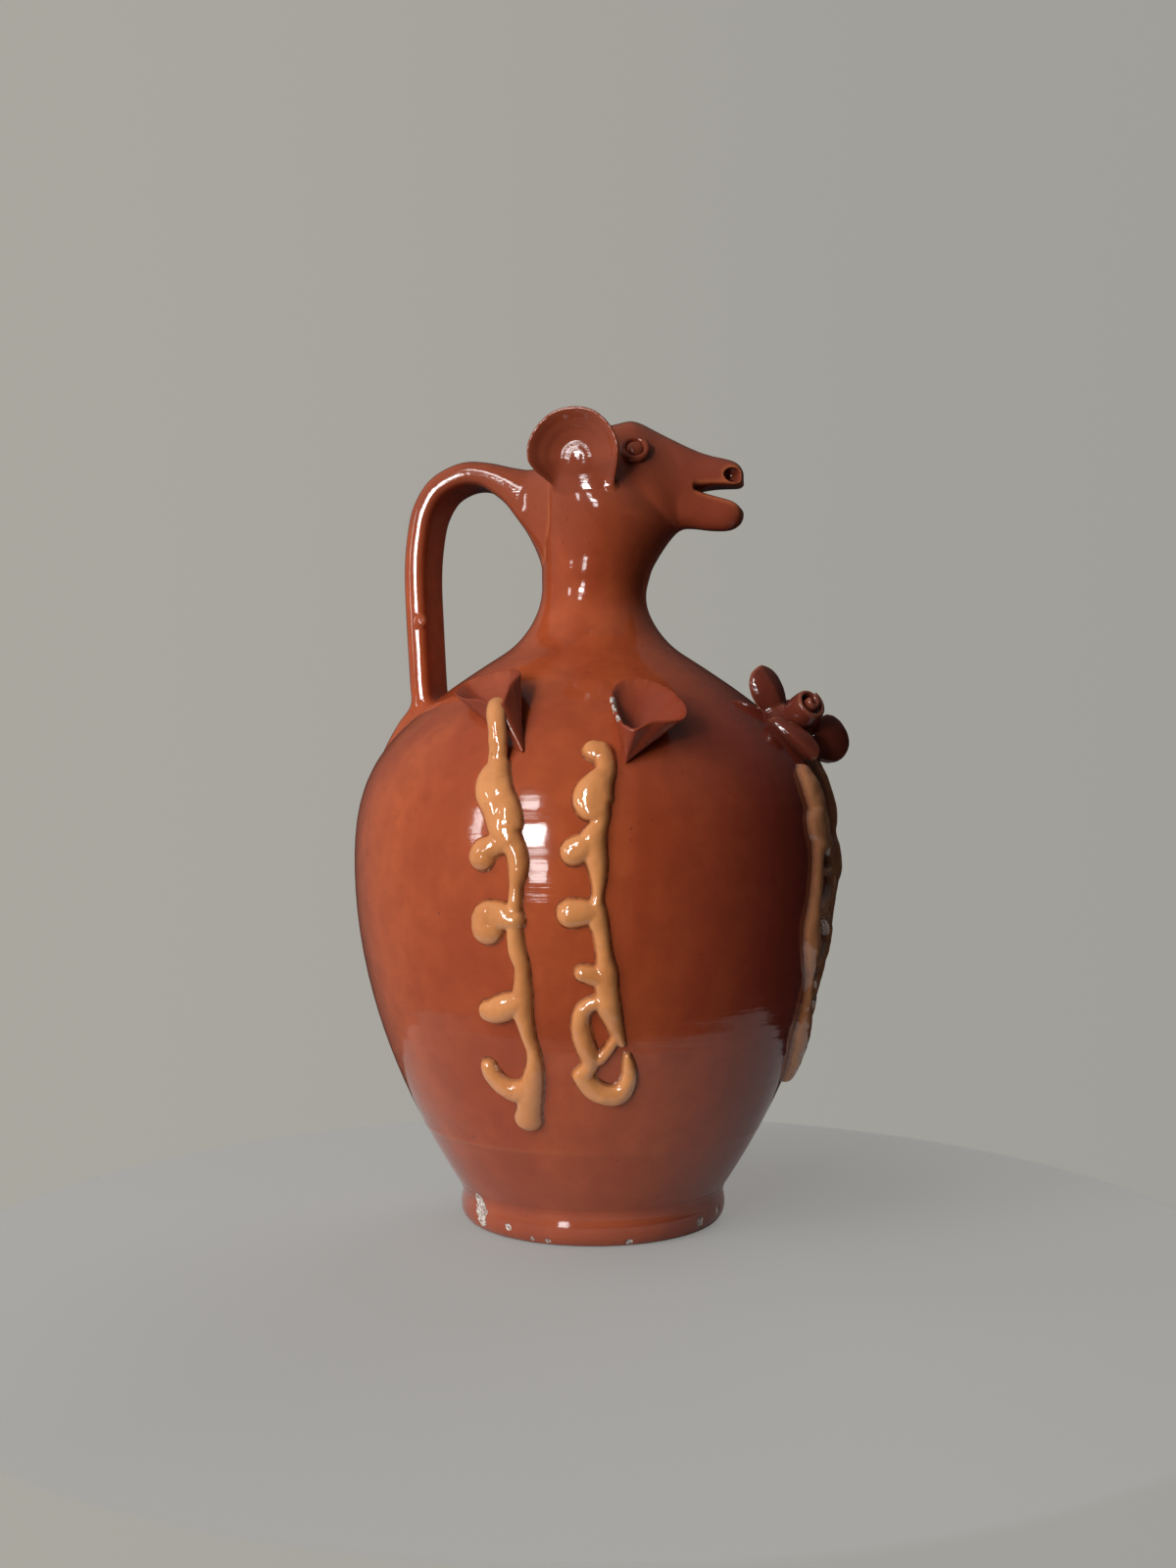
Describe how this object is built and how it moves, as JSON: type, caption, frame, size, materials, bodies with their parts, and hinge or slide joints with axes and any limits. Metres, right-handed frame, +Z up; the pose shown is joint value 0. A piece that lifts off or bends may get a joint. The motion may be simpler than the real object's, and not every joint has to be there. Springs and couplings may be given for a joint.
{
  "type": "pitcher",
  "caption": "Glazed redware pitcher with an egg-shaped body, an animal's head as its pouring spout, a strap handle, and leaves, a flower and slip strands luted on.",
  "frame": {"origin": "centre of the flat foot's underside, on the axis that the body was thrown round", "axes": "+Z up along the thrown axis; +X forward, the way the muzzle and the flower point; -X to the handle; +Y to the animal's left"},
  "size_m": [0.1865, 0.1874, 0.3025],
  "materials": {
    "redware": "glossy lead-type glaze over red earthenware",
    "dark_redware": "glossy glaze, darker where it is thin on the modelled leaves and petals",
    "ochre_slip": "glossy glaze over raised ochre slip"
  },
  "bodies": {
    "root": {"body": "redware", "neck": "redware", "head": "redware", "upper_jaw": "redware", "lower_jaw": "redware", "ear_left": "redware", "ear_right": "redware", "eye_ring_left": "redware", "eye_ring_right": "redware", "eye_pellet_left": "redware", "eye_pellet_right": "redware", "handle": "redware", "leaf_back_left": "dark_redware", "leaf_back_right": "dark_redware", "leaf_side_left": "dark_redware", "leaf_side_right": "dark_redware", "flower_stem": "dark_redware", "petal_1": "dark_redware", "petal_2": "dark_redware", "petal_3": "dark_redware", "petal_4": "dark_redware", "petal_5": "dark_redware", "flower_bud": "dark_redware", "strand_back_left": "ochre_slip", "strand_back_right": "ochre_slip", "strand_side_left": "ochre_slip", "strand_side_right": "ochre_slip", "strand_flower_left": "ochre_slip", "strand_flower_right": "ochre_slip"}
  },
  "joints": []
}
